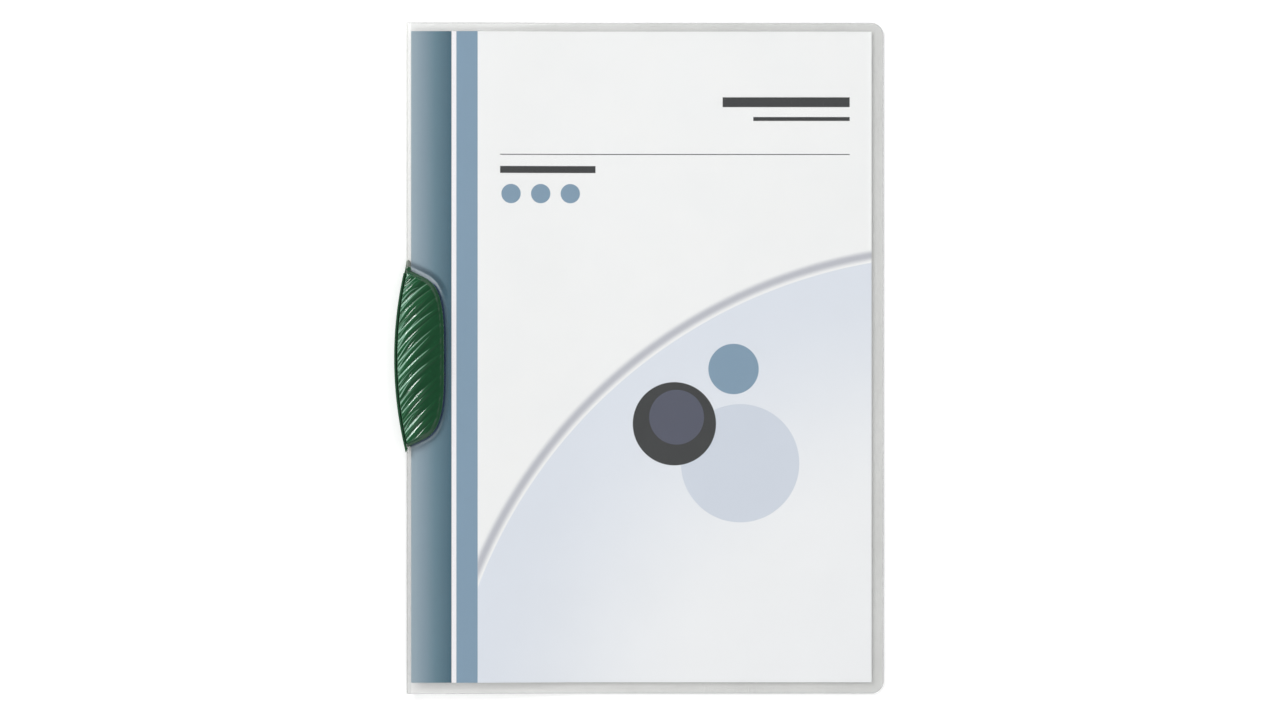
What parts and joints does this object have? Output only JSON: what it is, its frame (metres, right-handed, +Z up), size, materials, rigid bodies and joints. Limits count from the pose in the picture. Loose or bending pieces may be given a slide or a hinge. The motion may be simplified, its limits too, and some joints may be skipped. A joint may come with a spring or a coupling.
{
  "type": "clip folder",
  "caption": "A4 clip folder of clear film with a printed sheet inside, gripped at the spine by a swing-out clip with a crumpled lever.",
  "frame": {"origin": "on the surface the closed folder lies on, under the middle of the whole object, clip included", "axes": "+X from the spine to the fore edge, +Y towards the top of the page, +Z up out of the front cover"},
  "size_m": [0.2232, 0.3062, 0.0075],
  "materials": {
    "clear_film": "soft gloss, slightly milky",
    "printed_sheet": "matt white paper with blue-grey print",
    "smooth_clip_plastic": "smooth semi-gloss",
    "crumpled_clip_plastic": "high gloss over a crumpled relief"
  },
  "bodies": {
    "folder": {"back_cover": "clear_film", "insert_sheet": "printed_sheet"},
    "cover": {"front_cover": "clear_film"},
    "clip": {"clip_base": "smooth_clip_plastic", "clip_lever": "crumpled_clip_plastic", "pivot_pin": "smooth_clip_plastic"}
  },
  "joints": [
    {"name": "clip_swing", "type": "hinge", "parent": "folder", "child": "clip", "pos_m": [-0.105, 0.0406, 0.0027], "axis": [0, 0, -1], "range_deg": [0, 110]},
    {"name": "front_cover_opening", "type": "hinge", "parent": "folder", "child": "cover", "pos_m": [-0.0844, 0, 0.00355], "axis": [0, -1, 0], "range_deg": [0, 140]}
  ]
}
